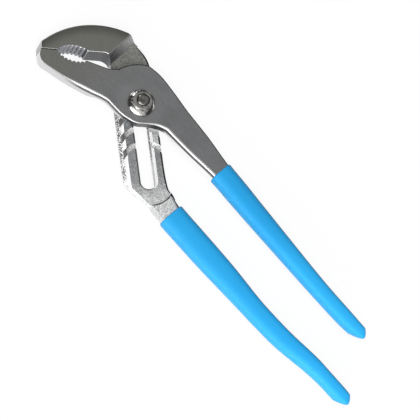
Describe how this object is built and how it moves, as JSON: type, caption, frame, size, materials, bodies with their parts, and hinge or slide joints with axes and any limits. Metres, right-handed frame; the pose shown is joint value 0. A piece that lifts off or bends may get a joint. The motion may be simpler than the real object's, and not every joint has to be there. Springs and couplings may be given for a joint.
{
  "type": "water pump pliers",
  "caption": "Adjustable water pump pliers: curved toothed jaws, a slotted half with arc grooves, a sliding bolt with a flange nut, and blue dipped grips.",
  "frame": {"origin": "middle of the bolt head's outer flat face, on the pivot axis", "axes": "+X from the jaws to the handles, +Y towards the front half's handle, +Z along the bolt from its head to its nut"},
  "size_m": [0.3051, 0.0698, 0.0259],
  "materials": {
    "brushed_plate": "ground and polished forged steel",
    "blasted_forging": "shot-blasted forged steel with a ground jaw",
    "bolt_steel": "plated steel",
    "nut_chrome": "polished plating",
    "blue_vinyl": "satin dipped vinyl"
  },
  "bodies": {
    "slotted_half": {"back_half": "blasted_forging", "back_grip": "blue_vinyl"},
    "pivot": {"pivot_bolt": "bolt_steel", "flange_nut": "nut_chrome"},
    "tongue_half": {"front_half": "brushed_plate", "front_grip": "blue_vinyl"}
  },
  "joints": [
    {"name": "seat_slide", "type": "slide", "parent": "slotted_half", "child": "pivot", "axis": [0.8141, -0.5807, 0], "range_m": [0, 0.0432]},
    {"name": "jaw_hinge", "type": "hinge", "parent": "pivot", "child": "tongue_half", "pos_m": [0, 0, 0], "axis": [0, 0, 1], "range_deg": [0, 65]}
  ]
}
